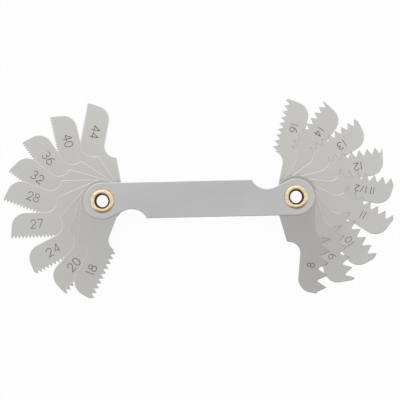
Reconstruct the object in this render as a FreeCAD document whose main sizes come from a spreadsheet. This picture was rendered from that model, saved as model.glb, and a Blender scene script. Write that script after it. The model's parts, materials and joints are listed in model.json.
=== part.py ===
"""Thread pitch gauge: eighteen toothed leaves on two eyelets between two handle plates.

Frame: X runs along the handle from the fine-pitch eyelet to the coarse-pitch one, Y across it, Z up through
the stack. The origin is on the outer face of the back plate, midway between the eyelets. Millimetres.
"""
import FreeCAD, Part
import math
import os
import Sketcher

os.makedirs("parts", exist_ok=True)

# Driving dimensions: name, value, meaning. Lengths are millimetres and angles are degrees.
DIMENSIONS = (
    ("millimetres_per_inch", 25.4, "converts threads per inch to a pitch"),
    ("pivot_spacing", 50.8, "handle: eyelet centre to eyelet centre"),
    ("handle_width", 9.525, "handle: across the plates, and so twice the radius of their ends"),
    ("plate_thickness", 0.8, "handle: each plate"),
    ("notch_depth", 2.51, "thumb notch: how deep it cuts into the edge"),
    ("notch_radius", 4.4, "thumb notch: its arc"),
    ("notch_ramp", 4.16, "thumb notch: straight stretch between it and the round end"),
    ("eyelet_bore", 3.175, "eyelet: clear hole through the barrel"),
    ("eyelet_wall", 0.4, "eyelet: wall of the barrel"),
    ("rim_diameter", 6.35, "eyelet: across the rim, which is rolled over tight"),
    ("rim_skirt", 0.1, "eyelet: straight part of the rim below its roll"),
    ("plate_clearance", 0.02, "barrel to the hole in a plate, on the radius"),
    ("leaf_clearance", 0.04, "barrel to the hole in a leaf, on the radius"),
    ("leaf_thickness", 0.5, "leaf: sheet it is stamped from"),
    ("leaf_gap", 0.03, "between neighbouring leaves, and between leaf and plate"),
    ("hub_radius", 5.68, "leaf: round end about the eyelet"),
    ("back_slope", 21.3, "leaf: plain edge that leaves the hub, to the line of teeth"),
    ("shoulder_reach", 11.9, "leaf: eyelet centre to the step in the plain edge"),
    ("step_height", 0.82, "leaf: straight part of the step"),
    ("shoulder_radius", 2.9, "leaf: hollow between the step and the plain edge of the finger"),
    ("tip_radius", 3.7, "leaf: round corner of the tip"),
    ("tip_slant", 3.9, "leaf: lean of the tip"),
    ("front_slope", 4.3, "leaf: edge from the hub to the heel of the teeth, to the line of teeth"),
    ("front_inset", 0.56, "leaf: how far that edge lies inside the round of the hub"),
    ("heel_reach", 10.1, "leaf: eyelet centre to the heel of the teeth"),
    ("pitch_line", 8.62, "leaf: eyelet centre to the line halfway up the teeth"),
    ("thread_angle", 60, "teeth: between the flanks"),
    ("crest_flat", 1 / 32, "teeth: flat on the crest, in pitches"),
    ("root_flat", 1 / 8, "teeth: flat at the root, in pitches"),
    ("cutter_overrun", 1 / 64, "teeth: how far the cutter stands out past the crests, in pitches"),
    ("heel_share", 0.35, "teeth: a gap that starts at most this far before the heel is cut, in pitches"),
)

# Leaves from the back plate up: threads per inch, direction of the finger from the eyelet as fanned out, what
# its reach lacks of half the pivot spacing, and end of the tip to the nearest crest.
FINE_LEAVES = (
    ("leaf_44_tpi", 44, 78, 0.8, 0.3),
    ("leaf_40_tpi", 40, 101.5, 0.9, 0.3),
    ("leaf_36_tpi", 36, 123.5, 0.8, 0.3),
    ("leaf_32_tpi", 32, 141.5, 1.1, 0.3),
    ("leaf_28_tpi", 28, 158.5, 0.9, 0.3),
    ("leaf_27_tpi", 27, 181, 1.1, 0.3),
    ("leaf_24_tpi", 24, 206.5, 0.9, 0.7),
    ("leaf_20_tpi", 20, 227.5, 0.8, 0.4),
    ("leaf_18_tpi", 18, 243, 0.9, 0.8),
)
COARSE_LEAVES = (
    ("leaf_16_tpi", 16, 73.5, 1.0, 0.5),
    ("leaf_14_tpi", 14, 52, 0.9, 0.1),
    ("leaf_13_tpi", 13, 30.5, 1.0, 0.7),
    ("leaf_12_tpi", 12, 8, 1.0, 1.9),
    ("leaf_11_half_tpi", 11.5, -12, 0.7, 1.1),
    ("leaf_11_tpi", 11, -33.5, 0.6, 0.7),
    ("leaf_10_tpi", 10, -58, 0.6, 0.9),
    ("leaf_9_tpi", 9, -77, 0.6, 0.5),
    ("leaf_8_tpi", 8, -96, 0.5, 1.9),
)
LEAVES_PER_END = len(FINE_LEAVES)

# What follows from the driving dimensions and is used by more than one piece.
SHARED_SIZES = (
    ("barrel_radius", "=eyelet_bore / 2 + eyelet_wall", "eyelet: outside of the barrel"),
    ("plate_hole_radius", "=barrel_radius + plate_clearance", "plate: hole for the barrel"),
    ("leaf_hole_radius", "=barrel_radius + leaf_clearance", "leaf: hole for the barrel"),
    ("front_offset", "=hub_radius - front_inset", "leaf: eyelet centre to the edge before the heel"),
    ("finger_offset",
     "=(shoulder_reach - hub_radius * sin(back_slope)) * tan(back_slope) - hub_radius * cos(back_slope)"
     " + step_height + shoulder_radius",
     "leaf: eyelet centre to the plain edge of the finger"),
    ("stack_height",
     f"=2 * plate_thickness + {LEAVES_PER_END} * leaf_thickness + {LEAVES_PER_END + 1} * leaf_gap",
     "between the outer faces of the plates"),
)

# What follows for each leaf: its reach from the eyelet, its pitch, the height of its teeth, the place of the
# gap nearest the tip and the number of gaps from there to the heel.
LEAF_COLUMNS = (
    "threads", "direction", "tip_shortfall", "crest_setback",
    "tip_reach", "pitch", "depth", "gap_centre", "gaps",
)


def leaf_formulas(name):
    return (
        f"=Dimensions.pivot_spacing / 2 - {name}_tip_shortfall",
        f"=Dimensions.millimetres_per_inch / {name}_threads",
        f"={name}_pitch * (1 - Dimensions.crest_flat - Dimensions.root_flat)"
        " / (2 * tan(Dimensions.thread_angle / 2))",
        f"={name}_tip_reach - {name}_crest_setback + {name}_pitch / 2",
        f"=floor(({name}_gap_centre - Dimensions.heel_reach) / {name}_pitch + Dimensions.heel_share) + 1",
    )


document = FreeCAD.newDocument("ThreadPitchGauge")


def fill_dimension_sheet():
    """One row a dimension: name, value, meaning."""
    sheet = document.addObject("Spreadsheet::Sheet", "Dimensions")
    for row, (name, value, meaning) in enumerate(DIMENSIONS + SHARED_SIZES, start=1):
        sheet.set(f"A{row}", name)
        sheet.setAlias(f"B{row}", name)
        sheet.set(f"B{row}", str(value))
        sheet.set(f"C{row}", meaning)
    return sheet


def fill_leaf_sheet():
    """One row a leaf: its own sizes, and then what follows from them."""
    sheet = document.addObject("Spreadsheet::Sheet", "Leaves")
    for row, (name, *own_sizes) in enumerate(FINE_LEAVES + COARSE_LEAVES, start=1):
        sheet.set(f"A{row}", name)
        contents = [str(value) for value in own_sizes] + list(leaf_formulas(name))
        for letter, column, content in zip("BCDEFGHIJ", LEAF_COLUMNS, contents):
            sheet.setAlias(f"{letter}{row}", f"{name}_{column}")
            sheet.set(f"{letter}{row}", content)
    return sheet


dimensions = fill_dimension_sheet()
leaves = fill_leaf_sheet()
document.recompute()


def size(name):
    """The value of a cell of the dimension sheet."""
    return float(dimensions.get(name))


def leaf_size(label, column):
    """The value of a cell of the leaf sheet."""
    return float(leaves.get(f"{label}_{column}"))


def new_body(label):
    body = document.addObject("PartDesign::Body", label)
    body.Label = label
    return body


def new_sketch(body, name, plane):
    """A sketch on one of the body's own origin planes."""
    sketch = body.newObject("Sketcher::SketchObject", f"{body.Label}_{name}")
    support = next(feature for feature in body.Origin.OriginFeatures if feature.Role == plane)
    sketch.AttachmentSupport = [(support, "")]
    sketch.MapMode = "FlatFace"
    return sketch


def line(sketch, start, end):
    return sketch.addGeometry(Part.LineSegment(FreeCAD.Vector(*start, 0), FreeCAD.Vector(*end, 0)), False)


def arc(sketch, centre, radius, start, end):
    """An arc that runs anticlockwise between two angles in degrees."""
    round_edge = Part.Circle(FreeCAD.Vector(*centre, 0), FreeCAD.Vector(0, 0, 1), radius)
    return sketch.addGeometry(Part.ArcOfCircle(round_edge, math.radians(start), math.radians(end)), False)


def circle(sketch, centre, radius):
    return sketch.addGeometry(Part.Circle(FreeCAD.Vector(*centre, 0), FreeCAD.Vector(0, 0, 1), radius), False)


def rule(sketch, *terms):
    """A constraint with no size, such as tangent or vertical."""
    sketch.addConstraint(Sketcher.Constraint(*terms))


def drive(sketch, name, expression, *terms):
    """A constraint whose size is bound to the sheets. The sketch is drawn at that size already."""
    index = sketch.addConstraint(Sketcher.Constraint(*terms))
    sketch.renameConstraint(index, name)
    sketch.setExpression(f"Constraints.{name}", expression)


START, END, CENTRE = 1, 2, 3
ORIGIN = (-1, 1)


def handle_plate(label, level):
    """Half-turn symmetric strip with full round ends, a thumb notch near each end and two eyelet holes."""
    body = new_body(label)
    sketch = new_sketch(body, "outline", "XY_Plane")
    pivot = size("pivot_spacing") / 2
    half_width = size("handle_width") / 2
    notch_radius = size("notch_radius")
    # the ramp between end and notch is tangent to both arcs, on opposite sides of it
    spread = math.hypot(half_width + notch_radius, size("notch_ramp"))
    notch_offset = half_width + notch_radius - size("notch_depth")
    notch = (math.sqrt(spread ** 2 - notch_offset ** 2) - pivot, -notch_offset)
    to_notch = -math.degrees(math.asin(notch_offset / spread))
    ramp_normal = to_notch - math.degrees(math.acos((half_width + notch_radius) / spread))
    cos_normal = math.cos(math.radians(ramp_normal))
    sin_normal = math.sin(math.radians(ramp_normal))
    ramp_start = (-pivot + half_width * cos_normal, half_width * sin_normal)
    ramp_end = (notch[0] - notch_radius * cos_normal, notch[1] - notch_radius * sin_normal)
    edge_angle = math.degrees(math.asin((-half_width - notch[1]) / notch_radius))
    edge_start = (notch[0] + notch_radius * math.cos(math.radians(edge_angle)), -half_width)

    halves = []
    for sign, turn in ((1, 0), (-1, 180)):
        end = arc(sketch, (-sign * pivot, 0), half_width, 90 + turn, ramp_normal + 360 + turn)
        ramp = line(sketch, [sign * c for c in ramp_start], [sign * c for c in ramp_end])
        notch_centre = [sign * c for c in notch]
        hollow = arc(sketch, notch_centre, notch_radius, edge_angle + turn, ramp_normal + 180 + turn)
        edge = line(sketch, [sign * c for c in edge_start], (sign * pivot, -sign * half_width))
        halves.append((end, ramp, hollow, edge))
    (end, ramp, hollow, edge), (other_end, other_ramp, other_hollow, other_edge) = halves
    for half, next_end in ((halves[0], other_end), (halves[1], end)):
        rule(sketch, "Tangent", half[0], END, half[1], START)
        rule(sketch, "Tangent", half[1], END, half[2], END)
        rule(sketch, "Coincident", half[2], START, half[3], START)
        rule(sketch, "Tangent", half[3], END, next_end, START)
    rule(sketch, "Horizontal", edge)
    rule(sketch, "Symmetric", end, CENTRE, other_end, CENTRE, *ORIGIN)
    rule(sketch, "Symmetric", hollow, CENTRE, other_hollow, CENTRE, *ORIGIN)
    rule(sketch, "Equal", end, other_end)
    rule(sketch, "Equal", hollow, other_hollow)
    rule(sketch, "PointOnObject", end, CENTRE, -1)
    drive(sketch, "spacing", "Dimensions.pivot_spacing",
          "DistanceX", end, CENTRE, other_end, CENTRE, 2 * pivot)
    drive(sketch, "end_radius", "Dimensions.handle_width / 2", "Radius", end, half_width)
    drive(sketch, "notch_radius", "Dimensions.notch_radius", "Radius", hollow, notch_radius)
    drive(sketch, "notch_ramp", "Dimensions.notch_ramp", "Distance", ramp, size("notch_ramp"))
    drive(sketch, "notch_offset",
          "Dimensions.handle_width / 2 + Dimensions.notch_radius - Dimensions.notch_depth",
          "DistanceY", hollow, CENTRE, *ORIGIN, notch_offset)

    for name, side, round_end in (("left_hole", -1, end), ("right_hole", 1, other_end)):
        hole = circle(sketch, (side * pivot, 0), size("plate_hole_radius"))
        rule(sketch, "Coincident", hole, CENTRE, round_end, CENTRE)
        drive(sketch, name, "Dimensions.plate_hole_radius", "Radius", hole, size("plate_hole_radius"))

    pad = body.newObject("PartDesign::Pad", f"{label}_sheet")
    pad.Profile = sketch
    pad.setExpression("Length", "Dimensions.plate_thickness")
    body.setExpression("Placement.Base.z", level)
    return body


def eyelet(label, side):
    """Barrel with a rim rolled over each plate: a revolved half, mirrored about the middle of the stack."""
    body = new_body(label)
    sketch = new_sketch(body, "section", "XZ_Plane")
    bore = size("eyelet_bore") / 2
    wall = size("eyelet_wall")
    rim = size("rim_diameter") / 2
    plate_face = size("stack_height") / 2
    roll_centre = ((bore + rim) / 2, plate_face + size("rim_skirt"))
    roll_radius = (rim - bore) / 2

    inside = line(sketch, (bore, 0), (bore, roll_centre[1]))
    roll = arc(sketch, roll_centre, roll_radius, 0, 180)
    skirt = line(sketch, (rim, roll_centre[1]), (rim, plate_face))
    foot = line(sketch, (rim, plate_face), (bore + wall, plate_face))
    outside = line(sketch, (bore + wall, plate_face), (bore + wall, 0))
    middle = line(sketch, (bore + wall, 0), (bore, 0))

    rule(sketch, "Coincident", inside, START, middle, END)
    rule(sketch, "Tangent", inside, END, roll, END)
    rule(sketch, "Tangent", roll, START, skirt, START)
    rule(sketch, "Coincident", skirt, END, foot, START)
    rule(sketch, "Coincident", foot, END, outside, START)
    rule(sketch, "Coincident", outside, END, middle, START)
    rule(sketch, "Vertical", inside)
    rule(sketch, "Vertical", outside)
    rule(sketch, "Horizontal", foot)
    rule(sketch, "PointOnObject", inside, START, -1)
    rule(sketch, "Horizontal", middle)
    drive(sketch, "bore_radius", "Dimensions.eyelet_bore / 2", "DistanceX", *ORIGIN, inside, START, bore)
    drive(sketch, "wall", "Dimensions.eyelet_wall", "DistanceX", middle, END, middle, START, wall)
    drive(sketch, "rim_radius", "Dimensions.rim_diameter / 2", "DistanceX", *ORIGIN, skirt, START, rim)
    drive(sketch, "plate_face", "Dimensions.stack_height / 2", "DistanceY", *ORIGIN, skirt, END, plate_face)
    drive(sketch, "rim_skirt", "Dimensions.rim_skirt",
          "DistanceY", skirt, END, skirt, START, size("rim_skirt"))

    half = body.newObject("PartDesign::Revolution", f"{label}_upper_half")
    half.Profile = sketch
    half.ReferenceAxis = (sketch, ["V_Axis"])
    half.Angle = 360
    whole = body.newObject("PartDesign::Mirrored", f"{label}_both_halves")
    whole.Originals = [half]
    whole.MirrorPlane = (sketch, ["H_Axis"])
    body.Tip = whole
    body.setExpression("Placement.Base.x", f"{side} * Dimensions.pivot_spacing / 2")
    body.setExpression("Placement.Base.z", "Dimensions.stack_height / 2")
    return body


def leaf_blank(body, label):
    """The stamped outline before its teeth are cut, with the eyelet hole."""
    sketch = new_sketch(body, "blank", "XY_Plane")
    hub = size("hub_radius")
    back = math.radians(size("back_slope"))
    front = math.radians(size("front_slope"))
    slant = math.radians(size("tip_slant"))
    shoulder = size("shoulder_radius")
    finger = size("finger_offset")
    tip = size("tip_radius")
    front_offset = size("front_offset")
    pitch_line = size("pitch_line")
    tip_reach = leaf_size(label, "tip_reach")
    crests = pitch_line + leaf_size(label, "depth") / 2

    back_start = (hub * math.sin(back), -hub * math.cos(back))
    shoulder_centre = (size("shoulder_reach") + shoulder, finger - shoulder)
    step = (size("shoulder_reach"), shoulder_centre[1] - size("step_height"))
    tip_rise = crests - finger - tip
    tip_centre = (tip_reach - tip_rise * math.tan(slant) - tip / math.cos(slant), finger + tip)
    tip_tangent = (tip_centre[0] + tip * math.cos(slant), tip_centre[1] - tip * math.sin(slant))
    # the hollow at the heel is tangent to the front edge, and ends square to the pitch line at the heel
    front_room = pitch_line * math.cos(front) - size("heel_reach") * math.sin(front) - front_offset
    heel = front_room / (1 - math.sin(front))
    heel_centre = (size("heel_reach") - heel, pitch_line)
    front_end = (heel_centre[0] + heel * math.sin(front), heel_centre[1] - heel * math.cos(front))
    hub_run = math.sqrt(hub ** 2 - front_offset ** 2)
    front_start = (-front_offset * math.sin(front) - hub_run * math.cos(front),
                   front_offset * math.cos(front) - hub_run * math.sin(front))
    hub_start = math.degrees(math.atan2(front_start[1], front_start[0]))

    hub_arc = arc(sketch, (0, 0), hub, hub_start, 270 + size("back_slope"))
    back_edge = line(sketch, back_start, step)
    step_edge = line(sketch, step, (step[0], shoulder_centre[1]))
    shoulder_arc = arc(sketch, shoulder_centre, shoulder, 90, 180)
    finger_edge = line(sketch, (shoulder_centre[0], finger), (tip_centre[0], finger))
    tip_arc = arc(sketch, tip_centre, tip, -90, -size("tip_slant"))
    tip_edge = line(sketch, tip_tangent, (tip_reach, crests))
    crest_edge = line(sketch, (tip_reach, crests), (size("heel_reach"), crests))
    heel_edge = line(sketch, (size("heel_reach"), crests), (size("heel_reach"), pitch_line))
    heel_arc = arc(sketch, heel_centre, heel, size("front_slope") - 90, 0)
    front_edge = line(sketch, front_start, front_end)
    hole = circle(sketch, (0, 0), size("leaf_hole_radius"))

    rule(sketch, "Coincident", hub_arc, CENTRE, *ORIGIN)
    rule(sketch, "Coincident", hole, CENTRE, *ORIGIN)
    rule(sketch, "Tangent", hub_arc, END, back_edge, START)
    rule(sketch, "Coincident", back_edge, END, step_edge, START)
    rule(sketch, "Tangent", step_edge, END, shoulder_arc, END)
    rule(sketch, "Tangent", shoulder_arc, START, finger_edge, START)
    rule(sketch, "Tangent", finger_edge, END, tip_arc, START)
    rule(sketch, "Tangent", tip_arc, END, tip_edge, START)
    rule(sketch, "Coincident", tip_edge, END, crest_edge, START)
    rule(sketch, "Coincident", crest_edge, END, heel_edge, START)
    rule(sketch, "Tangent", heel_edge, END, heel_arc, END)
    rule(sketch, "Tangent", heel_arc, START, front_edge, END)
    rule(sketch, "Coincident", front_edge, START, hub_arc, START)
    rule(sketch, "Vertical", step_edge)
    rule(sketch, "Horizontal", finger_edge)
    rule(sketch, "Horizontal", crest_edge)
    rule(sketch, "Vertical", heel_edge)
    drive(sketch, "hub_radius", "Dimensions.hub_radius", "Radius", hub_arc, hub)
    drive(sketch, "shoulder_radius", "Dimensions.shoulder_radius", "Radius", shoulder_arc, shoulder)
    drive(sketch, "tip_radius", "Dimensions.tip_radius", "Radius", tip_arc, tip)
    drive(sketch, "hole_radius", "Dimensions.leaf_hole_radius", "Radius", hole, size("leaf_hole_radius"))
    drive(sketch, "back_slope", "Dimensions.back_slope * 1 deg", "Angle", back_edge, back)
    drive(sketch, "front_slope", "Dimensions.front_slope * 1 deg", "Angle", front_edge, front)
    drive(sketch, "tip_slant", "(90 - Dimensions.tip_slant) * 1 deg", "Angle", tip_edge, math.pi / 2 - slant)
    drive(sketch, "shoulder_reach", "Dimensions.shoulder_reach",
          "DistanceX", *ORIGIN, step_edge, START, size("shoulder_reach"))
    drive(sketch, "step_height", "Dimensions.step_height",
          "DistanceY", step_edge, START, step_edge, END, size("step_height"))
    drive(sketch, "tip_reach", f"Leaves.{label}_tip_reach",
          "DistanceX", *ORIGIN, crest_edge, START, tip_reach)
    drive(sketch, "crests", f"Dimensions.pitch_line + Leaves.{label}_depth / 2",
          "DistanceY", *ORIGIN, crest_edge, START, crests)
    drive(sketch, "heel_reach", "Dimensions.heel_reach",
          "DistanceX", *ORIGIN, heel_edge, START, size("heel_reach"))
    drive(sketch, "pitch_line", "Dimensions.pitch_line",
          "DistanceY", *ORIGIN, heel_edge, END, pitch_line)
    drive(sketch, "front_offset", "Dimensions.front_offset",
          "Distance", *ORIGIN, front_edge, front_offset)
    return sketch


def tooth_gap(body, label):
    """The gap nearest the tip: a truncated V between two crests, drawn from the root out past the crests."""
    sketch = new_sketch(body, "gap", "XY_Plane")
    pitch = leaf_size(label, "pitch")
    depth = leaf_size(label, "depth")
    centre = leaf_size(label, "gap_centre")
    flank = math.radians(size("thread_angle") / 2)
    root = size("pitch_line") - depth / 2
    mouth = size("pitch_line") + depth / 2 + size("cutter_overrun") * pitch
    half_root = size("root_flat") * pitch / 2
    half_mouth = half_root + (mouth - root) * math.tan(flank)

    root_edge = line(sketch, (centre - half_root, root), (centre + half_root, root))
    far_flank = line(sketch, (centre + half_root, root), (centre + half_mouth, mouth))
    mouth_edge = line(sketch, (centre + half_mouth, mouth), (centre - half_mouth, mouth))
    near_flank = line(sketch, (centre - half_mouth, mouth), (centre - half_root, root))

    edges = (root_edge, far_flank, mouth_edge, near_flank)
    for edge, following in zip(edges, edges[1:] + edges[:1]):
        rule(sketch, "Coincident", edge, END, following, START)
    rule(sketch, "Horizontal", root_edge)
    rule(sketch, "Horizontal", mouth_edge)
    drive(sketch, "far_flank", "(90 - Dimensions.thread_angle / 2) * 1 deg",
          "Angle", far_flank, math.pi / 2 - flank)
    drive(sketch, "near_flank", "(Dimensions.thread_angle / 2 - 90) * 1 deg",
          "Angle", near_flank, flank - math.pi / 2)
    drive(sketch, "root_flat", f"Dimensions.root_flat * Leaves.{label}_pitch",
          "DistanceX", root_edge, START, root_edge, END, 2 * half_root)
    drive(sketch, "gap_start", f"Leaves.{label}_gap_centre - Dimensions.root_flat * Leaves.{label}_pitch / 2",
          "DistanceX", *ORIGIN, root_edge, START, centre - half_root)
    drive(sketch, "root", f"Dimensions.pitch_line - Leaves.{label}_depth / 2",
          "DistanceY", *ORIGIN, root_edge, START, root)
    drive(sketch, "mouth", f"Leaves.{label}_depth + Dimensions.cutter_overrun * Leaves.{label}_pitch",
          "DistanceY", root_edge, START, mouth_edge, START, mouth - root)
    return sketch


def leaf(label, side, place):
    """A blank padded to the sheet's thickness, and one tooth gap repeated from the tip to the heel."""
    body = new_body(label)
    blank = body.newObject("PartDesign::Pad", f"{label}_sheet")
    blank.Profile = leaf_blank(body, label)
    blank.setExpression("Length", "Dimensions.leaf_thickness")
    document.recompute()

    gap_sketch = tooth_gap(body, label)
    gap = body.newObject("PartDesign::Pocket", f"{label}_first_gap")
    gap.Profile = gap_sketch
    gap.Type = "ThroughAll"
    gap.Reversed = True
    teeth = body.newObject("PartDesign::LinearPattern", f"{label}_teeth")
    teeth.Originals = [gap]
    teeth.Direction = (gap_sketch, ["H_Axis"])
    teeth.Reversed = True
    teeth.setExpression("Occurrences", f"Leaves.{label}_gaps")
    teeth.setExpression("Length", f"(Leaves.{label}_gaps - 1) * Leaves.{label}_pitch")
    body.Tip = teeth

    body.setExpression("Placement.Base.x", f"{side} * Dimensions.pivot_spacing / 2")
    body.setExpression("Placement.Base.z", "Dimensions.plate_thickness + Dimensions.leaf_gap"
                       f" + {place} * (Dimensions.leaf_thickness + Dimensions.leaf_gap)")
    body.setExpression("Placement.Rotation.Angle", f"Leaves.{label}_direction")
    return body


def teeth_are_cut(body):
    """True if the gaps, bar the two at the ends of the row, came out of the blank in full."""
    blank = document.getObject(f"{body.Label}_sheet")
    mean_width = leaf_size(body.Label, "pitch") * (1 - size("crest_flat") + size("root_flat")) / 2
    gap_volume = mean_width * leaf_size(body.Label, "depth") * size("leaf_thickness")
    return blank.Shape.Volume - body.Shape.Volume > (leaf_size(body.Label, "gaps") - 2) * gap_volume


sub_parts = [handle_plate("back_plate", "0")]
sub_parts += [handle_plate("front_plate", "Dimensions.stack_height - Dimensions.plate_thickness")]
sub_parts += [eyelet("left_eyelet", -1), eyelet("right_eyelet", 1)]
leaf_bodies = [leaf(row[0], side, place)
               for side, rows in ((-1, FINE_LEAVES), (1, COARSE_LEAVES))
               for place, row in enumerate(rows)]
sub_parts += leaf_bodies
document.recompute()

failed = [item.Name for item in document.Objects if {"Invalid", "Error"} & set(item.State)]
failed += [body.Label for body in sub_parts if body.Shape.isNull() or not body.Shape.isValid()]
failed += [body.Label for body in leaf_bodies if not teeth_are_cut(body)]
if failed:
    raise RuntimeError(f"these did not build: {failed}")
for body in sub_parts:
    body.Shape.exportStep(f"parts/{body.Label}.step")
print(f"{len(sub_parts)} sub-parts written")
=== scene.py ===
"""Thread pitch gauge: ground steel leaves with stamped numbers, satin handle plates and rolled brass eyelets.

Lengths in the functions are metres unless a name ends in _mm. X runs along the handle from the fine-pitch
eyelet to the coarse-pitch one, Z up through the stack of leaves.
"""
import json
import math

import bmesh
import bpy
import numpy as np
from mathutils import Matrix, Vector


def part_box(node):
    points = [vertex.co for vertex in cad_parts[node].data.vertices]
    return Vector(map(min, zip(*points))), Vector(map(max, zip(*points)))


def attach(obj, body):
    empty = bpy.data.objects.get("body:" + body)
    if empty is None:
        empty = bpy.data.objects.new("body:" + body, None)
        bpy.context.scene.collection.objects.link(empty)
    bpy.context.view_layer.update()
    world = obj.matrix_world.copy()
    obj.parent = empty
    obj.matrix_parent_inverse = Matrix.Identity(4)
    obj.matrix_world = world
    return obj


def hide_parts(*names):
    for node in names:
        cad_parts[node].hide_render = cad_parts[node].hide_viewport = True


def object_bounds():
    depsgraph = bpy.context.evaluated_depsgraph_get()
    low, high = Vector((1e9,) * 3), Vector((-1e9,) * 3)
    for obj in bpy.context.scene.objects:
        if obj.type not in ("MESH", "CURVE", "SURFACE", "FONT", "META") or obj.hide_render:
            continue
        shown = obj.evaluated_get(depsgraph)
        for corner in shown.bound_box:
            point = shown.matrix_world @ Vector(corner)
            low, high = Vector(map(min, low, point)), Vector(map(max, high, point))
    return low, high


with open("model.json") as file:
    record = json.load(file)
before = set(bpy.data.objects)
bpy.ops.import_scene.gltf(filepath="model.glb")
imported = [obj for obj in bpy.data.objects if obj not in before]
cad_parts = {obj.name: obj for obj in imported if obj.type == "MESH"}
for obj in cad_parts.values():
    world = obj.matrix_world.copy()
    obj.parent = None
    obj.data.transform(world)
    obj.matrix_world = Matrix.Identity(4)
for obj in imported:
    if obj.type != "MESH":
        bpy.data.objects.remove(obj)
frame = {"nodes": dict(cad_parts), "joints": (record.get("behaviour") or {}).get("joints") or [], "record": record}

bl_info = {
    "name": "Thread pitch gauge",
    "version": (1, 0, 0),
    "blender": (4, 5, 0),
    "location": "3D View > Sidebar > Pitch gauge",
    "description": "Makes the leaves, plates and eyelets of a thread pitch gauge around its packed model",
    "category": "Add Mesh",
}

CAD_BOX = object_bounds()
MM = 0.001

JOINTS = {joint["child"]: joint for joint in frame["joints"]}
LEAVES = tuple(JOINTS)
PLATES = ("back_plate", "front_plate")
EYELETS = ("left_eyelet", "right_eyelet")
BORE_RADIUS = next(m["dims"]["r_mm"] for m in frame["record"]["mounts"] if m["kind"] == "bore") * MM

# Direction of a closed leaf of the fine end, from which its joint's lower limit is counted.
CLOSED_LEAN = -14.5
MILLIMETRES_PER_INCH = 25.4
# Share of the pitch that a tooth is deep: 60 degree flanks less a crest flat of 1/32 and a root flat of 1/8.
TOOTH_DEPTH = (1 - 1 / 32 - 1 / 8) / (2 * math.tan(math.radians(30)))
# How far below the roots a leaf counts as toothed, and the small rounding of a milled tooth, in pitches.
TOOTH_MARGIN = 0.02
TOOTH_ROLL = 0.035


def linear(colour):
    """Linear RGB of an sRGB hex colour."""
    srgb = np.array([int(colour[place:place + 2], 16) for place in (1, 3, 5)]) / 255
    return tuple(np.where(srgb <= 0.04045, srgb / 12.92, ((srgb + 0.055) / 1.055) ** 2.4).tolist())


# ---------------------------------------------------------------- meshes


def new_piece(name, vertices, faces, smooth=None):
    """An object whose mesh has these vertices (an array of points) and faces (lists of vertex numbers)."""
    mesh = bpy.data.meshes.new(name)
    mesh.from_pydata(vertices.tolist(), [], faces)
    if smooth is not None:
        mesh.polygons.foreach_set("use_smooth", smooth)
    piece = bpy.data.objects.new(name, mesh)
    bpy.context.scene.collection.objects.link(piece)
    return piece


def front_face(node):
    """The flat front face of a CAD sheet: its corner points, its triangles and its bounding edges.

    The triangles with all three corners at the node's highest level make the face. Its corners are merged,
    and an edge bounds it where no triangle runs along that edge the other way. The face lies to its left.
    """
    mesh = frame["nodes"][node].data
    mesh.calc_loop_triangles()
    corners = np.empty(3 * len(mesh.loop_triangles), np.int32)
    mesh.loop_triangles.foreach_get("vertices", corners)
    places = np.empty(3 * len(mesh.vertices), np.float32)
    mesh.vertices.foreach_get("co", places)
    solid = places.reshape(-1, 3)[corners.reshape(-1, 3)]
    highest = solid[:, :, 2].max()
    at_front = np.isclose(solid[:, :, 2], highest, rtol=0, atol=1e-6).all(axis=1)
    points, numbers = np.unique(solid[at_front][:, :, :2].reshape(-1, 2), axis=0, return_inverse=True)
    triangles = numbers.reshape(-1, 3)
    edges = np.concatenate((triangles[:, (0, 1)], triangles[:, (1, 2)], triangles[:, (2, 0)]))
    forwards = edges @ (len(points), 1)
    backwards = edges @ (1, len(points))
    return points.astype(float), triangles, edges[~np.isin(forwards, backwards)]


def inward(points, edges):
    """For each outline point, the step that moves both of its edges inwards by one unit.

    With n and m the inward normals of the edges before and after the point, it is (n + m) / (1 + n.m).
    """
    along = points[edges[:, 1]] - points[edges[:, 0]]
    along /= np.linalg.norm(along, axis=1, keepdims=True)
    normal = np.stack((-along[:, 1], along[:, 0]), axis=1)
    before = np.zeros_like(points)
    after = np.zeros_like(points)
    before[edges[:, 1]] = normal
    after[edges[:, 0]] = normal
    return (before + after) / (1 + (before * after).sum(axis=1, keepdims=True))


# Profile of a stamped edge, from the face down to the wall: inset and drop as shares of the die roll. It is
# nearly flat, with a small curve at each end, which is how a sheet draws down beside the punch.
EDGE_INSET = np.array((1.0, 0.86, 0.25, 0.07, 0.0))
EDGE_DROP = np.array((0.0, 0.04, 0.39, 0.53, 0.68))


def stamped_sheet(name, face, low, high, roll, burr_share):
    """A sheet from low to high whose outline is carried down a wall profile with stamped edges.

    Ring k lies EDGE_INSET_k r inside the outline and EDGE_DROP_k r below the face, where r is the die roll at
    each outline point. The back has the same profile upside down, burr_share as large. The face's own
    triangles close the front and the back.
    """
    points, triangles, edges = face
    insets = np.concatenate((EDGE_INSET, burr_share * EDGE_INSET[::-1]))[:, None] * roll
    front_rings = high - EDGE_DROP[:, None] * roll
    back_rings = low + burr_share * EDGE_DROP[::-1, None] * roll
    levels = np.concatenate((front_rings, back_rings))
    flat = points + insets[:, :, None] * inward(points, edges)
    vertices = np.concatenate((flat, levels[:, :, None]), axis=2).reshape(-1, 3)

    ring = len(points) * np.arange(len(insets) - 1)[:, None]
    start, end = edges[:, 0], edges[:, 1]
    below = len(points)
    walls = np.stack((ring + start, ring + start + below, ring + end + below, ring + end), axis=2)
    back = triangles[:, ::-1] + len(vertices) - len(points)
    faces = walls.reshape(-1, 4).tolist() + triangles.tolist() + back.tolist()
    smooth = np.arange(len(faces)) < walls.shape[0] * walls.shape[1]
    return new_piece(name, vertices, faces, smooth)


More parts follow.
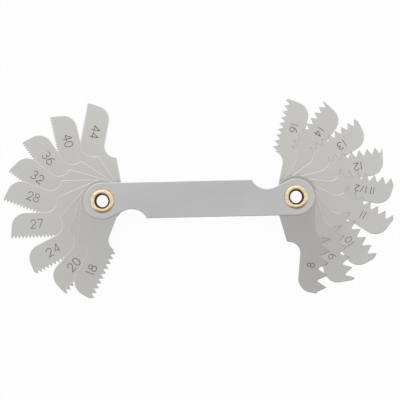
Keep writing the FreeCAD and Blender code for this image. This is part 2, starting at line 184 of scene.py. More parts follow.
def turned_ring(name, radius, height, centre, steps):
    """A closed section (radius, height) turned about a vertical axis at centre.

    Vertex (i, j) is centre + (r_i cos a_j, r_i sin a_j, z_i).
    """
    angle = np.linspace(0, 2 * math.pi, steps, endpoint=False)
    across = centre[0] + radius[:, None] * np.cos(angle)
    along = centre[1] + radius[:, None] * np.sin(angle)
    level = np.broadcast_to(height[:, None], across.shape)
    vertices = np.stack((across, along, level), axis=2).reshape(-1, 3)
    row = np.arange(len(radius))[:, None] * steps
    next_row = np.roll(row, -1, axis=0)
    column = np.arange(steps)
    next_column = np.roll(column, -1)
    faces = np.stack((row + column, row + next_column, next_row + next_column, next_row + column), axis=2)
    return new_piece(name, vertices, faces.reshape(-1, 4).tolist(), np.ones(faces[..., 0].size, bool))


# ---------------------------------------------------------------- stamped numbers


def bow(centre, radii, start, end, count=17):
    """Points on an ellipse between two angles in degrees."""
    angle = np.radians(np.linspace(start, end, count))
    return np.stack((centre[0] + radii[0] * np.cos(angle), centre[1] + radii[1] * np.sin(angle)), axis=1)


def bar(start, end):
    """Points on a straight stroke."""
    return np.linspace(start, end, 3)


def six():
    """A loop and the stem that leaves its left side."""
    return (
        bow((0.31, 0.3), (0.31, 0.3), 0, 360, 25),
        bow((0.6, 0.3), (0.6, 0.7), 180, 100),
    )


# Strokes of each character in a cell one high, drawn as the lines of the punches.
STROKES = {
    "0": (bow((0.31, 0.5), (0.31, 0.5), 0, 360, 33),),
    "1": (bar((0.12, 0), (0.12, 1)),),
    "2": (
        np.concatenate((bow((0.31, 0.71), (0.29, 0.29), 170, -40), [(0.0, 0.0)])),
        bar((0, 0), (0.62, 0)),
    ),
    "3": (
        bow((0.29, 0.75), (0.27, 0.25), 150, -90),
        bow((0.29, 0.27), (0.31, 0.27), 90, -150),
    ),
    "4": (bar((0.47, 0), (0.47, 1)), bar((0.47, 1), (0, 0.3)), bar((0, 0.3), (0.66, 0.3))),
    " ": (),
    "6": six(),
    "7": (bar((0, 1), (0.6, 1)), bar((0.6, 1), (0.18, 0))),
    "8": (
        bow((0.31, 0.27), (0.31, 0.27), 0, 360, 25),
        bow((0.31, 0.77), (0.25, 0.23), 0, 360, 25),
    ),
    "9": tuple((0.62, 1) - stroke for stroke in six()),
    "/": (bar((0, 0), (0.42, 1)),),
}
# Width of each character, as a share of its height, and the space that follows it.
WIDTHS = {"1": 0.24, " ": 0.1, "/": 0.42}
DIGIT_WIDTH = 0.62
SPACING = 0.24
# A number with a fraction is struck with smaller punches, to leave the teeth clear.
FRACTION_SHRINK = 0.87


def groove(path, width, depth, proud):
    """A tube along a stroke: a trapezium that is width across at the surface and narrows to its floor.

    Section point j at path point k lies at path_k + side_j s_k normal_k, where s falls from 1 to a fifth over
    the two extra points that round each open end.
    """
    is_loop = np.allclose(path[0], path[-1])
    if is_loop:
        path = path[:-1]
        along = np.roll(path, -1, axis=0) - np.roll(path, 1, axis=0)
        taper = np.ones(len(path))
    else:
        first = (path[0] - path[1]) / np.linalg.norm(path[0] - path[1])
        last = (path[-1] - path[-2]) / np.linalg.norm(path[-1] - path[-2])
        ends = width / 2 * np.array((0.9, 0.6))[:, None]
        path = np.concatenate((path[0] + ends * first, path, path[-1] + ends[::-1] * last))
        along = np.gradient(path, axis=0)
        taper = np.ones(len(path))
        taper[[0, -1]] = 0.2
        taper[[1, -2]] = 0.8
    along /= np.linalg.norm(along, axis=1, keepdims=True)
    normal = np.stack((-along[:, 1], along[:, 0]), axis=1)
    side = width / 2 * np.array((-1.0, 1.0, 0.4, -0.4))
    level = np.array((proud, proud, -depth, -depth))
    flat = path[:, None] + normal[:, None] * side[:, None] * taper[:, None, None]
    height = np.broadcast_to(level[:, None], flat.shape[:2] + (1,))
    height = height * np.where(level > 0, 1, taper[:, None])[..., None]
    vertices = np.concatenate((flat, height), axis=2).reshape(-1, 3)

    stations = len(path)
    links = stations if is_loop else stations - 1
    here = 4 * np.arange(links)[:, None]
    there = 4 * ((np.arange(links)[:, None] + 1) % stations)
    corner = np.arange(4)
    next_corner = np.roll(corner, -1)
    faces = np.stack((here + corner, here + next_corner, there + next_corner, there + corner), axis=2)
    faces = faces.reshape(-1, 4).tolist()
    if not is_loop:
        faces += [[3, 2, 1, 0], [4 * stations - 4, 4 * stations - 3, 4 * stations - 2, 4 * stations - 1]]
    return vertices, faces


def number_cutter(text, centre, direction, level, height, numbers):
    """The grooves of a whole number, read from the tip towards the eyelet with its feet to the teeth.

    Each figure is struck with its own punch, so it sits and turns a little differently from its neighbours.
    """
    vertices, faces, count = [], [], 0
    widths = [WIDTHS.get(character, DIGIT_WIDTH) for character in text]
    starts = np.cumsum([0] + [width + SPACING for width in widths])
    span = starts[-1] - SPACING
    right = -np.array((math.cos(direction), math.sin(direction)))
    up = np.array((-right[1], right[0]))
    hand = np.random.default_rng(len(text) + int(text[:2]))
    for character, width, start in zip(text, widths, starts):
        shift = hand.normal(0, 0.02, 2)
        lean = hand.normal(0, 0.03)
        press = hand.uniform(0.92, 1.15)
        turn = np.array(((math.cos(lean), -math.sin(lean)), (math.sin(lean), math.cos(lean))))
        for stroke in STROKES[character]:
            struck = (stroke - (width / 2, 0.5)) @ turn.T + shift
            cell = (struck + (start + width / 2 - span / 2, 0)) * height
            path = centre + cell[:, :1] * right + cell[:, 1:] * up
            points, quads = groove(path, press * numbers.stroke, press * numbers.depth, numbers.depth / 2)
            vertices.append(points + (0, 0, level))
            faces += [[corner + count for corner in quad] for quad in quads]
            count += len(points)
    cutter = new_piece("number_cutter", np.concatenate(vertices), faces)
    shape = bmesh.new()
    shape.from_mesh(cutter.data)
    bmesh.ops.recalc_face_normals(shape, faces=shape.faces)
    shape.to_mesh(cutter.data)
    shape.free()
    return cutter


def cut(piece, cutter):
    """Takes the cutter out of the piece, and gives the new faces the cutter's material."""
    difference = piece.modifiers.new("numbers", "BOOLEAN")
    difference.operation = "DIFFERENCE"
    difference.solver = "EXACT"
    difference.use_self = True
    difference.material_mode = "TRANSFER"
    difference.object = cutter
    shown = piece.evaluated_get(bpy.context.evaluated_depsgraph_get())
    cut_mesh = bpy.data.meshes.new_from_object(shown)
    piece.modifiers.clear()
    piece.data = cut_mesh
    bpy.data.objects.remove(cutter)


# ---------------------------------------------------------------- finishing


# Tone of the sharp edges of the milled teeth: painted shade, darkening them like the shade along the tooth flanks.
TOOTH_EDGE_SHADE = 0.55
# How far below the face a point counts as lying on the edge.
FACE_TOLERANCE = 0.003 * MM
# Edges that turn more than this are drawn sharp.
SHARP_TURN = math.radians(35)


def finish_sheet(piece, pivot, direction, tone, edge_highlight_tone, tooth_line=math.inf):
    """Gives a sheet its grain map, in millimetres along and across it from the pivot, and its tone.

    The tone multiplies the steel's colour and paints light and shade. It is the tone given on the faces, the edge
    tone times that on the drawn-down edges and the upper wall, a painted highlight, and the tooth-edge tone times
    it there beyond the tooth line, a painted shade.
    """
    mesh = piece.data
    places = np.empty(3 * len(mesh.vertices), np.float32)
    mesh.vertices.foreach_get("co", places)
    places = places.reshape(-1, 3)
    offset = places[:, :2] - pivot
    along = offset @ (math.cos(direction), math.sin(direction))
    across = offset @ (-math.sin(direction), math.cos(direction))
    corners = np.empty(len(mesh.loops), np.int32)
    mesh.loops.foreach_get("vertex_index", corners)
    grain = mesh.uv_layers.new(name="grain")
    grain.data.foreach_set("uv", (np.stack((along, across), axis=1)[corners] / MM).ravel())
    low, high = places[:, 2].min(), places[:, 2].max()
    on_edge = (places[:, 2] < high - FACE_TOLERANCE) & (places[:, 2] > (low + high) / 2)
    # painted highlight on the drawn-down edges, painted shade on the edges of the teeth
    edge = np.where(across > tooth_line, TOOTH_EDGE_SHADE, edge_highlight_tone)
    layer = mesh.attributes.new("tone", "FLOAT", "POINT")
    layer.data.foreach_set("value", (tone(along) * np.where(on_edge, edge, 1)).astype(np.float32))


def hand_over(piece, body, node):
    """The finished piece moves with its body and stands for the CAD node."""
    polygons = piece.data.polygons
    smooth = np.empty(len(polygons), bool)
    polygons.foreach_get("use_smooth", smooth)
    piece.data.set_sharp_from_angle(angle=SHARP_TURN)
    # marking the sharp edges has made every face smooth
    polygons.foreach_set("use_smooth", smooth)
    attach(piece, body)
    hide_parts(node)


# ---------------------------------------------------------------- materials


def add_node(tree, kind, settings=None, links=None):
    """Adds a node, sets its own properties and its unlinked inputs, and links the rest of its inputs."""
    node = tree.nodes.new(kind)
    for name, value in (settings or {}).items():
        if isinstance(name, str) and hasattr(node, name):
            setattr(node, name, value)
        else:
            node.inputs[name].default_value = value
    for name, socket in (links or {}).items():
        tree.links.new(socket, node.inputs[name])
    return node


def new_material(name):
    """An empty material and the tree and output that its nodes go into."""
    material = bpy.data.materials.new(name)
    material.use_nodes = True
    tree = material.node_tree
    tree.nodes.clear()
    return material, tree, add_node(tree, "ShaderNodeOutputMaterial")


SATIN_ROUGHNESS = 0.26
# Spacing of the ground lines as drawn, and their length in spacings.
LEAF_LINE_MM = 0.3
PLATE_LINE_MM = 0.35
LINE_STRETCH = 30


def satin_steel(name, colour, roughness, line_mm):
    """Hardened spring steel, belt-ground along its length and then tumbled.

    It gives fine lines along the piece, broad soft clouds of slightly different polish, a low wide sheen, and by
    its tone painted light and shade, with a painted highlight on the edges.
    """
    material, tree, output = new_material(name)
    grain = add_node(tree, "ShaderNodeUVMap", {"uv_map": "grain"})
    # ground lines: really 0.02 mm apart, drawn line_mm apart so that they show, and thirty times as long
    stretched = add_node(
        tree, "ShaderNodeMapping", {"Scale": (1 / (LINE_STRETCH * line_mm), 1 / line_mm, 1)},
        {"Vector": grain.outputs[0]})
    lines = add_node(
        tree, "ShaderNodeTexNoise", {"Scale": 1.0, "Detail": 2.0, "Roughness": 0.5},
        {"Vector": stretched.outputs[0]})
    # clouds of polish about 9 mm across
    clouds = add_node(
        tree, "ShaderNodeTexNoise", {"Scale": 0.11, "Detail": 4.0, "Roughness": 0.5},
        {"Vector": grain.outputs[0]})
    dull = add_node(
        tree, "ShaderNodeMapRange",
        {"From Min": 0.3, "From Max": 0.7, "To Min": roughness - 0.04, "To Max": roughness + 0.04},
        {"Value": clouds.outputs["Fac"]})
    shade = add_node(
        tree, "ShaderNodeMapRange", {"From Min": 0.25, "From Max": 0.75, "To Min": 0.975, "To Max": 1.025},
        {"Value": clouds.outputs["Fac"]})
    streak = add_node(
        tree, "ShaderNodeMapRange", {"From Min": 0.25, "From Max": 0.75, "To Min": 0.98, "To Max": 1.02},
        {"Value": lines.outputs["Fac"]})
    # the tone attribute carries painted light and shade, and a painted highlight on the edges
    tone = add_node(tree, "ShaderNodeAttribute", {"attribute_name": "tone"})
    patchy = add_node(
        tree, "ShaderNodeMath", {"operation": "MULTIPLY"}, {0: shade.outputs[0], 1: streak.outputs[0]})
    toned = add_node(
        tree, "ShaderNodeMath", {"operation": "MULTIPLY"}, {0: patchy.outputs[0], 1: tone.outputs["Fac"]})
    tinted = add_node(
        tree, "ShaderNodeVectorMath", {"operation": "SCALE", 0: colour}, {"Scale": toned.outputs[0]})
    relief = add_node(
        tree, "ShaderNodeBump", {"Strength": 0.06, "Distance": 0.004 * MM}, {"Height": lines.outputs["Fac"]})
    steel = add_node(
        tree, "ShaderNodeBsdfPrincipled", {"Metallic": 1.0},
        {"Base Color": tinted.outputs[0], "Roughness": dull.outputs[0], "Normal": relief.outputs[0]})
    tree.links.new(steel.outputs[0], output.inputs["Surface"])
    return material


def stamped_groove(colour):
    """The floor and sides of a stamped number, where the black oxide of hardening was not ground away."""
    material, tree, output = new_material("stamped_groove")
    place = add_node(tree, "ShaderNodeTexCoord")
    # scale left in patches of about 0.3 mm
    patches = add_node(
        tree, "ShaderNodeTexNoise", {"Scale": 1 / (0.3 * MM), "Detail": 3.0},
        {"Vector": place.outputs["Object"]})
    worn = add_node(
        tree, "ShaderNodeMapRange", {"From Min": 0.3, "From Max": 0.7, "To Min": 0.8, "To Max": 1.25},
        {"Value": patches.outputs["Fac"]})
    tinted = add_node(
        tree, "ShaderNodeVectorMath", {"operation": "SCALE", 0: colour}, {"Scale": worn.outputs[0]})
    oxide = add_node(
        tree, "ShaderNodeBsdfPrincipled", {"Metallic": 1.0, "Roughness": 0.5},
        {"Base Color": tinted.outputs[0]})
    tree.links.new(oxide.outputs[0], output.inputs["Surface"])
    return material


def rolled_brass(colour, tarnish, painted_shade):
    """Brass tube rolled over in a press: polished bright on the crown, tarnished in blotches, and painted dark
    brown in the bore and at the foot of the rim, a painted shade.

    It gives pale gold highlights, olive patches between them, and painted shade in dark brown in the bore and at
    the foot.
    """
    material, tree, output = new_material("rolled_brass")
    place = add_node(tree, "ShaderNodeTexCoord")
    # blotches of tarnish about 0.9 mm across
    blotches = add_node(
        tree, "ShaderNodeTexNoise", {"Scale": 1 / (0.9 * MM), "Detail": 4.0, "Roughness": 0.6},
        {"Vector": place.outputs["Object"]})
    amount = add_node(
        tree, "ShaderNodeMapRange", {"From Min": 0.45, "From Max": 0.75, "To Min": 0.0, "To Max": 0.7},
        {"Value": blotches.outputs["Fac"]})
    metal = add_node(
        tree, "ShaderNodeMix", {"data_type": "RGBA", 6: (*colour, 1), 7: (*tarnish, 1)},
        {0: amount.outputs[0]})
    # bare brass where this is 1, dark brown painted shade where it is 0
    bare_brass = add_node(tree, "ShaderNodeAttribute", {"attribute_name": "bare_brass"})
    tinted = add_node(
        tree, "ShaderNodeMix", {"data_type": "RGBA", 6: (*painted_shade, 1)},
        {0: bare_brass.outputs["Fac"], 7: metal.outputs[2]})
    dull = add_node(
        tree, "ShaderNodeMapRange", {"From Min": 0.0, "From Max": 1.0, "To Min": 0.6, "To Max": 0.14},
        {"Value": bare_brass.outputs["Fac"]})
    brass = add_node(
        tree, "ShaderNodeBsdfPrincipled", {},
        {"Base Color": tinted.outputs[2], "Metallic": bare_brass.outputs["Fac"], "Roughness": dull.outputs[0]})
    tree.links.new(brass.outputs[0], output.inputs["Surface"])
    return material


# Share of the floor's look that is plain white to the camera and the metal. The rest takes the shadow.
WHITE_SHARE = 0.95


def white_paper(colour):
    """A plain pale floor that the camera and the metal see as nearly shadowless white."""
    material, tree, output = new_material("white_paper")
    matt = add_node(tree, "ShaderNodeBsdfDiffuse", {"Color": (*colour, 1)})
    glow = add_node(tree, "ShaderNodeEmission", {"Color": (1, 1, 1, 1), "Strength": 1.0})
    path = add_node(tree, "ShaderNodeLightPath")
    seen = add_node(
        tree, "ShaderNodeMath", {"operation": "MAXIMUM"},
        {0: path.outputs["Is Camera Ray"], 1: path.outputs["Is Glossy Ray"]})
    seen_through = add_node(
        tree, "ShaderNodeMath", {"operation": "MAXIMUM"},
        {0: seen.outputs[0], 1: path.outputs["Is Transmission Ray"]})
    share = add_node(
        tree, "ShaderNodeMath", {"operation": "MULTIPLY", 1: WHITE_SHARE}, {0: seen_through.outputs[0]})
    mixed = add_node(
        tree, "ShaderNodeMixShader", {}, {0: share.outputs[0], 1: matt.outputs[0], 2: glow.outputs[0]})
    tree.links.new(mixed.outputs[0], output.inputs["Surface"])
    return material


# ---------------------------------------------------------------- settings


class GaugeSheets(bpy.types.PropertyGroup):
    leaf_roll: bpy.props.FloatProperty(
        name="Leaf die roll", description="Width of a leaf's drawn-down edge on the front",
        default=0.12 * MM, min=0, unit="LENGTH")
    plate_roll: bpy.props.FloatProperty(
        name="Plate die roll", description="Width of a plate's drawn-down edge on the front",
        default=0.14 * MM, min=0, unit="LENGTH")
    burr_share: bpy.props.FloatProperty(
        name="Back edge", description="Rounding of the back edge as a share of the die roll", default=0.4,
        min=0.05, max=1, subtype="FACTOR")
    plate_colour: bpy.props.FloatVectorProperty(
        name="Plates", description="Colour of the handle plates", default=linear("#BDBDBD"), size=3,
        subtype="COLOR")
    leaf_colour: bpy.props.FloatVectorProperty(
        name="Leaves", description="Colour of the leaves", default=linear("#C7C5C1"), size=3, subtype="COLOR")
    # a painted highlight on the stamped edges
    edge_highlight_tone: bpy.props.FloatProperty(
        name="Edge highlight", description="Brightness of the stamped edges against the faces",
        default=1.35, min=0, max=1.6)


class GaugeNumbers(bpy.types.PropertyGroup):
    fine_height: bpy.props.FloatProperty(
        name="Fine height", description="Height of the numbers on the fine-pitch leaves",
        default=2.2 * MM, min=0.5 * MM, unit="LENGTH")
    coarse_height: bpy.props.FloatProperty(
        name="Coarse height", description="Height of the numbers on the coarse-pitch leaves",
        default=1.9 * MM, min=0.5 * MM, unit="LENGTH")
    stroke: bpy.props.FloatProperty(
        name="Stroke", description="Width of a stroke at the surface", default=0.21 * MM, min=0.05 * MM,
        unit="LENGTH")
    depth: bpy.props.FloatProperty(
        name="Depth", description="Depth of a stroke", default=0.09 * MM, min=0.01 * MM, unit="LENGTH")
    reach: bpy.props.FloatProperty(
        name="Reach", description="Eyelet centre to the middle of a number, along its leaf",
        default=17.4 * MM, unit="LENGTH")
    offset: bpy.props.FloatProperty(
        name="Offset", description="Eyelet centre to the middle of a number, across its leaf",
        default=5.3 * MM, unit="LENGTH")
    colour: bpy.props.FloatVectorProperty(
        name="Groove", description="Colour inside the strokes", default=linear("#84827E"), size=3,
        subtype="COLOR")


class GaugeEyelets(bpy.types.PropertyGroup):
    flare: bpy.props.FloatProperty(
        name="Flare", description="How far the bore opens towards each mouth", default=0.24 * MM, min=0,
        unit="LENGTH")
    colour: bpy.props.FloatVectorProperty(
        name="Brass", description="Colour of the bright brass", default=linear("#F4E2C0"), size=3,
        subtype="COLOR")
    tarnish: bpy.props.FloatVectorProperty(
        name="Tarnish", description="Colour of the tarnished brass", default=linear("#BC9C68"), size=3,
        subtype="COLOR")
    # painted shade: dark brown for the bore and the foot of the rim
    painted_shade: bpy.props.FloatVectorProperty(
        name="Grime", description="Colour of the bore and the foot of the rim", default=linear("#5E3A16"),
        size=3, subtype="COLOR")


class GaugeStage(bpy.types.PropertyGroup):
    floor_colour: bpy.props.FloatVectorProperty(
        name="Floor", description="Colour of the floor", default=linear("#F6F6F6"), size=3, subtype="COLOR")
    distance: bpy.props.FloatProperty(
        name="Distance", description="Camera to the front plate", default=0.9, min=0.1, unit="LENGTH")
    field: bpy.props.FloatProperty(
        name="Field", description="Width of the view at the front plate", default=104.6 * MM,
        min=10 * MM, unit="LENGTH")
    roll: bpy.props.FloatProperty(
        name="Roll", description="Turn of the camera about its own axis", default=math.radians(-1.24),
        subtype="ANGLE")
    lamp_power: bpy.props.FloatProperty(
        name="Lamp", description="Power of the soft lamp", default=0.6, min=0, unit="POWER")
    ceiling: bpy.props.FloatProperty(
        name="Ceiling", description="Brightness of the room straight overhead", default=0.95, min=0)
    window: bpy.props.FloatProperty(
        name="Window", description="Brightness added low down on the lamp's side", default=0.25, min=0)
    doorway: bpy.props.FloatProperty(
        name="Doorway", description="Brightness taken away low down on the other side", default=0.68, min=0)


# ---------------------------------------------------------------- operators


# How bright each leaf is against the leaf colour: painted light and shade, falling across each fan from the 44 and
# 16 leaves to the 18 and 8 leaves as the light falls across the gauge, leaf 8 darkest.
LEAF_PAINTED_LIGHT = {
    "leaf_44_tpi": 1.07, "leaf_40_tpi": 1.05, "leaf_36_tpi": 1.04, "leaf_32_tpi": 1.02, "leaf_28_tpi": 1.02,
    "leaf_27_tpi": 1.01, "leaf_24_tpi": 0.98, "leaf_20_tpi": 0.94, "leaf_18_tpi": 0.92,
    "leaf_16_tpi": 1.07, "leaf_14_tpi": 1.04, "leaf_13_tpi": 1.06, "leaf_12_tpi": 1.05,
    "leaf_11_half_tpi": 1.01, "leaf_11_tpi": 1.0, "leaf_10_tpi": 0.95, "leaf_9_tpi": 0.9, "leaf_8_tpi": 0.78,
}


def leaf_number(name):
    """What is stamped on a leaf: its threads per inch, from its node's name."""
    return name.removeprefix("leaf_").removesuffix("_tpi").replace("_half", " 1/2")


def leaf_pitch(name):
    """Distance between a leaf's teeth, from its number."""
    whole, *half = leaf_number(name).split()
    return MILLIMETRES_PER_INCH * MM / (int(whole) + 0.5 * len(half))


def leaf_direction(name):
    """Direction of a leaf's finger at rest, counted back from where its joint has it closed."""
    joint = JOINTS[name]
    closed = CLOSED_LEAN if joint["pos_m"][0] < 0 else CLOSED_LEAN + 180
    return math.radians(closed - joint["range_deg"][0])


# Tone of a leaf at its eyelet and from FULL_TONE_REACH on: painted shade, darker towards the eyelet, where the
# leaves lie under one another and under the plates.
HUB_PAINTED_SHADE = (0.92, 1.0)
FULL_TONE_REACH = 23 * MM


def make_leaf(name, sheets, numbers, steel, oxide):
    """One leaf: its stamped sheet with milled teeth, its number cut in, its tone and grain."""
    low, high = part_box(name)
    pivot = np.array(JOINTS[name]["pos_m"][:2])
    direction = leaf_direction(name)
    face = front_face(name)
    across = (face[0] - pivot) @ (-math.sin(direction), math.cos(direction))
    pitch = leaf_pitch(name)
    # the teeth are milled after the blank is stamped, so their edges are sharp
    tooth_line = across.max() - (TOOTH_DEPTH + TOOTH_MARGIN) * pitch
    roll = np.where(across > tooth_line, TOOTH_ROLL * pitch, sheets.leaf_roll)
    piece = stamped_sheet(f"{name}_stamped", face, low.z, high.z, roll, sheets.burr_share)
    piece.data.materials.append(steel)

    along = np.array((math.cos(direction), math.sin(direction)))
    centre = pivot + numbers.reach * along + numbers.offset * np.array((-along[1], along[0]))
    text = leaf_number(name)
    height = numbers.fine_height if pivot[0] < 0 else numbers.coarse_height
    if " " in text:
        height *= FRACTION_SHRINK
    cutter = number_cutter(text, centre, direction, high.z, height, numbers)
    cutter.data.materials.append(oxide)
    cut(piece, cutter)
    # the leaf's painted light and shade: its place in the fan, and painted shade towards the eyelet
    tone = LEAF_PAINTED_LIGHT[name] * np.array(HUB_PAINTED_SHADE)
    finish_sheet(
        piece, pivot, direction, lambda along: np.interp(along, (0, FULL_TONE_REACH), tone), sheets.edge_highlight_tone,
        tooth_line)
    hand_over(piece, name, name)


class GAUGE_OT_leaves(bpy.types.Operator):
    """Makes the eighteen stamped leaves with milled teeth and a number on each"""
    bl_idname = "pitch_gauge.leaves"
    bl_label = "Leaves"

    def execute(self, context):
        sheets = context.scene.gauge_sheets
        numbers = context.scene.gauge_numbers
        steel = satin_steel("satin_leaf_steel", sheets.leaf_colour, SATIN_ROUGHNESS, LEAF_LINE_MM)
        oxide = stamped_groove(numbers.colour)
        for name in LEAVES:
            make_leaf(name, sheets, numbers, steel, oxide)
        return {"FINISHED"}


# Tone of a plate from the middle of each half to its end: lighter towards each end.
PLATE_TONE = (1.0, 1.08)


class GAUGE_OT_plates(bpy.types.Operator):
    """Makes the two handle plates with rounded edges"""
    bl_idname = "pitch_gauge.plates"
    bl_label = "Handle plates"

    def execute(self, context):
        sheets = context.scene.gauge_sheets
        steel = satin_steel("satin_plate_steel", sheets.plate_colour, SATIN_ROUGHNESS, PLATE_LINE_MM)
        for name in PLATES:
            low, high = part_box(name)
            face = front_face(name)
            roll = np.full(len(face[0]), sheets.plate_roll)
            piece = stamped_sheet(f"{name}_stamped", face, low.z, high.z, roll, sheets.burr_share)
            piece.data.materials.append(steel)
            half = (high.x - low.x) / 2
            finish_sheet(
                piece, np.zeros(2), 0.0, lambda along: np.interp(abs(along), (half / 2, half), PLATE_TONE),
                sheets.edge_highlight_tone)
            hand_over(piece, "root", name)
        return {"FINISHED"}


# Fall of the eyelet's rim from its crown to the mouth of the bore, and to its outer edge.
RIM_FALL = (0.5 * MM, 0.45 * MM)
# Where the crown lies between the mouth and the outer edge, as a share of the way.
CROWN_SHARE = 0.38
BARREL_WALL = 0.4 * MM
# The foot of the rim stops this far short of the plate.
FOOT_CLEARANCE = 0.02 * MM
TURNING_STEPS = 96


def eyelet_section(low, high, flare):
    """The eyelet's closed section, anticlockwise from the middle of its bore: bore, rim, barrel, rim.

    The bore opens towards each mouth by flare times the tenth power of the height. The rim falls from its
    crown with the square of the distance, by RIM_FALL on each side, and then drops straight to the plate. The
    third array says how much bare brass shows there; the rest is dark brown painted shade.
    """
    rim_radius = (high.x - low.x) / 2
    middle = (low.z + high.z) / 2
    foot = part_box("front_plate")[1].z - middle + FOOT_CLEARANCE
    crown = high.z - middle
    barrel_radius = BORE_RADIUS + BARREL_WALL
    mouth = BORE_RADIUS + flare
    crown_radius = mouth + CROWN_SHARE * (rim_radius - mouth)
    rise = np.linspace(0, 1, 15) ** 0.4
    bore = np.stack((BORE_RADIUS + flare * rise ** 10, (crown - RIM_FALL[0]) * rise), axis=1)
    share = np.concatenate((np.linspace(-1, 0, 9)[1:], np.linspace(0, 1, 13)[1:]))
    reach = np.where(share < 0, crown_radius - mouth, rim_radius - crown_radius)
    fall = np.where(share < 0, RIM_FALL[0], RIM_FALL[1]) * share ** 2
    rim = np.stack((crown_radius + reach * share, crown - fall), axis=1)
    skirt_top = crown - RIM_FALL[1]
    skirt = np.stack((np.full(3, rim_radius), np.linspace(skirt_top, foot, 4)[1:]), axis=1)
    under = np.array(((barrel_radius, foot), (barrel_radius, foot / 2)))
    upper = np.concatenate((bore, rim, skirt, under))
    # share of bare brass; the rest is dark brown painted shade in the bore, at the mouth and at the foot of the
    # rim
    bare_brass = np.concatenate((
        np.zeros(len(bore)), np.interp(share, (-0.8, -0.5, 0.72, 1.0), (0, 1, 1, 0.45)), (0.3, 0.1, 0.0),
        np.zeros(len(under))))
    lower = upper[::-1] * (1, -1)
    section = np.concatenate((upper, lower[:-1]))
    return section[:, 0], section[:, 1] + middle, np.concatenate((bare_brass, bare_brass[::-1][:-1]))


class GAUGE_OT_eyelets(bpy.types.Operator):
    """Makes the two brass eyelets, rolled over on both plates"""
    bl_idname = "pitch_gauge.eyelets"
    bl_label = "Eyelets"

    def execute(self, context):
        settings = context.scene.gauge_eyelets
        brass = rolled_brass(settings.colour, settings.tarnish, settings.painted_shade)
        for name in EYELETS:
            low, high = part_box(name)
            radius, height, bare_brass = eyelet_section(low, high, settings.flare)
            centre = ((low.x + high.x) / 2, (low.y + high.y) / 2)
            piece = turned_ring(f"{name}_rolled", radius, height, centre, TURNING_STEPS)
            piece.data.materials.append(brass)
            bare_brass_layer = piece.data.attributes.new("bare_brass", "FLOAT", "POINT")
            bare_brass_layer.data.foreach_set("value", np.repeat(bare_brass, TURNING_STEPS).astype(np.float32))
            hand_over(piece, "root", name)
        return {"FINISHED"}


# The stage, in metres: half the floor's side, the lamp's side and place, and where the camera looks.
FLOOR_HALF = 3.0
LAMP_SIZE = 1.0
LAMP_PLACE = (-0.5, 0.9, 0.9)
VIEW_CENTRE = (0.2 * MM, -0.27 * MM)
SENSOR_MM = 36


class GAUGE_OT_stage(bpy.types.Operator):
    """Makes the floor, the room light, the soft lamp and the camera"""
    bl_idname = "pitch_gauge.stage"
    bl_label = "Stage"

    def execute(self, context):
        scene = context.scene
        stage = scene.gauge_stage
        corners = FLOOR_HALF * np.array([(-1, -1), (1, -1), (1, 1), (-1, 1)])
        level = np.full((4, 1), CAD_BOX[0].z)
        floor = new_piece("floor", np.concatenate((corners, level), axis=1), [[0, 1, 2, 3]])
        floor.data.materials.append(white_paper(stage.floor_colour))

        light_room(scene, stage)
        lamp = bpy.data.lights.new("soft_lamp", "AREA")
        lamp.shape = "SQUARE"
        lamp.size = LAMP_SIZE
        lamp.energy = stage.lamp_power
        lamp_object = bpy.data.objects.new("soft_lamp", lamp)
        lamp_object.location = LAMP_PLACE
        lamp_object.rotation_euler = (-lamp_object.location).to_track_quat("-Z", "Y").to_euler()
        scene.collection.objects.link(lamp_object)

        camera = bpy.data.cameras.new("camera")
        camera.sensor_width = SENSOR_MM
        camera.lens = camera.sensor_width * stage.distance / stage.field
        camera_object = bpy.data.objects.new("camera", camera)
        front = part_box("front_plate")[1].z
        camera_object.location = (*VIEW_CENTRE, front + stage.distance)
        camera_object.rotation_euler = (0, 0, stage.roll)
        scene.collection.objects.link(camera_object)
        scene.camera = camera_object

        scene.view_settings.view_transform = "Standard"
        return {"FINISHED"}


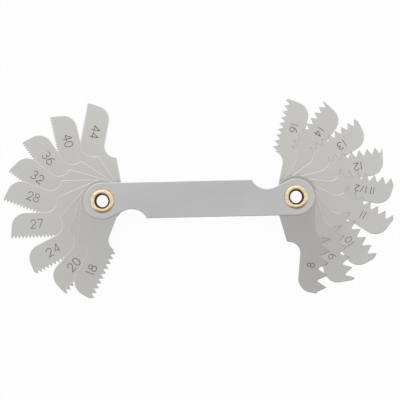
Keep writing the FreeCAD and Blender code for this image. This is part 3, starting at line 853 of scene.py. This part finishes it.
def light_room(scene, stage):
    """A white room: ceiling + window smooth(s) - doorway smooth(-s), where s is the part of a direction that
    points level to the lamp's side, and smooth rises from 0 to 1 between two values of s."""
    world = bpy.data.worlds.new("room")
    scene.world = world
    world.use_nodes = True
    tree = world.node_tree
    tree.nodes.clear()
    place = add_node(tree, "ShaderNodeTexCoord")
    side = Vector((-0.2, 0.98, 0.0))
    towards = add_node(
        tree, "ShaderNodeVectorMath", {"operation": "DOT_PRODUCT", 1: side}, {0: place.outputs["Generated"]})
    window = add_node(
        tree, "ShaderNodeMapRange",
        {"interpolation_type": "SMOOTHSTEP", "From Min": 0.3, "From Max": 0.9, "To Min": stage.ceiling,
         "To Max": stage.ceiling + stage.window},
        {"Value": towards.outputs["Value"]})
    doorway = add_node(
        tree, "ShaderNodeMapRange",
        {"interpolation_type": "SMOOTHSTEP", "From Min": -0.85, "From Max": -0.3, "To Min": stage.doorway,
         "To Max": 0.0},
        {"Value": towards.outputs["Value"]})
    strength = add_node(
        tree, "ShaderNodeMath", {"operation": "SUBTRACT"}, {0: window.outputs[0], 1: doorway.outputs[0]})
    background = add_node(
        tree, "ShaderNodeBackground", {"Color": (1, 1, 1, 1)}, {"Strength": strength.outputs[0]})
    output = add_node(tree, "ShaderNodeOutputWorld")
    tree.links.new(background.outputs[0], output.inputs["Surface"])


class GAUGE_PT_panel(bpy.types.Panel):
    """Lists the pieces of the gauge and their settings"""
    bl_idname = "GAUGE_PT_panel"
    bl_label = "Thread pitch gauge"
    bl_space_type = "VIEW_3D"
    bl_region_type = "UI"
    bl_category = "Pitch gauge"

    def draw(self, context):
        for operator, settings in PIECES:
            box = self.layout.box()
            box.operator(operator.bl_idname)
            group = getattr(context.scene, settings)
            for name in group.bl_rna.properties.keys():
                if name not in ("rna_type", "name"):
                    box.prop(group, name)


SETTINGS = {
    "gauge_sheets": GaugeSheets,
    "gauge_numbers": GaugeNumbers,
    "gauge_eyelets": GaugeEyelets,
    "gauge_stage": GaugeStage,
}
PIECES = (
    (GAUGE_OT_stage, "gauge_stage"),
    (GAUGE_OT_plates, "gauge_sheets"),
    (GAUGE_OT_leaves, "gauge_numbers"),
    (GAUGE_OT_eyelets, "gauge_eyelets"),
)


def register():
    for settings in SETTINGS.values():
        bpy.utils.register_class(settings)
    for operator, _ in PIECES:
        bpy.utils.register_class(operator)
    bpy.utils.register_class(GAUGE_PT_panel)
    for name, settings in SETTINGS.items():
        setattr(bpy.types.Scene, name, bpy.props.PointerProperty(type=settings))


def unregister():
    for name in SETTINGS:
        delattr(bpy.types.Scene, name)
    bpy.utils.unregister_class(GAUGE_PT_panel)
    for operator, _ in PIECES:
        bpy.utils.unregister_class(operator)
    for settings in SETTINGS.values():
        bpy.utils.unregister_class(settings)


def main():
    register()
    bpy.ops.pitch_gauge.stage()
    bpy.ops.pitch_gauge.plates()
    bpy.ops.pitch_gauge.leaves()
    bpy.ops.pitch_gauge.eyelets()


if __name__ == "__main__":
    main()
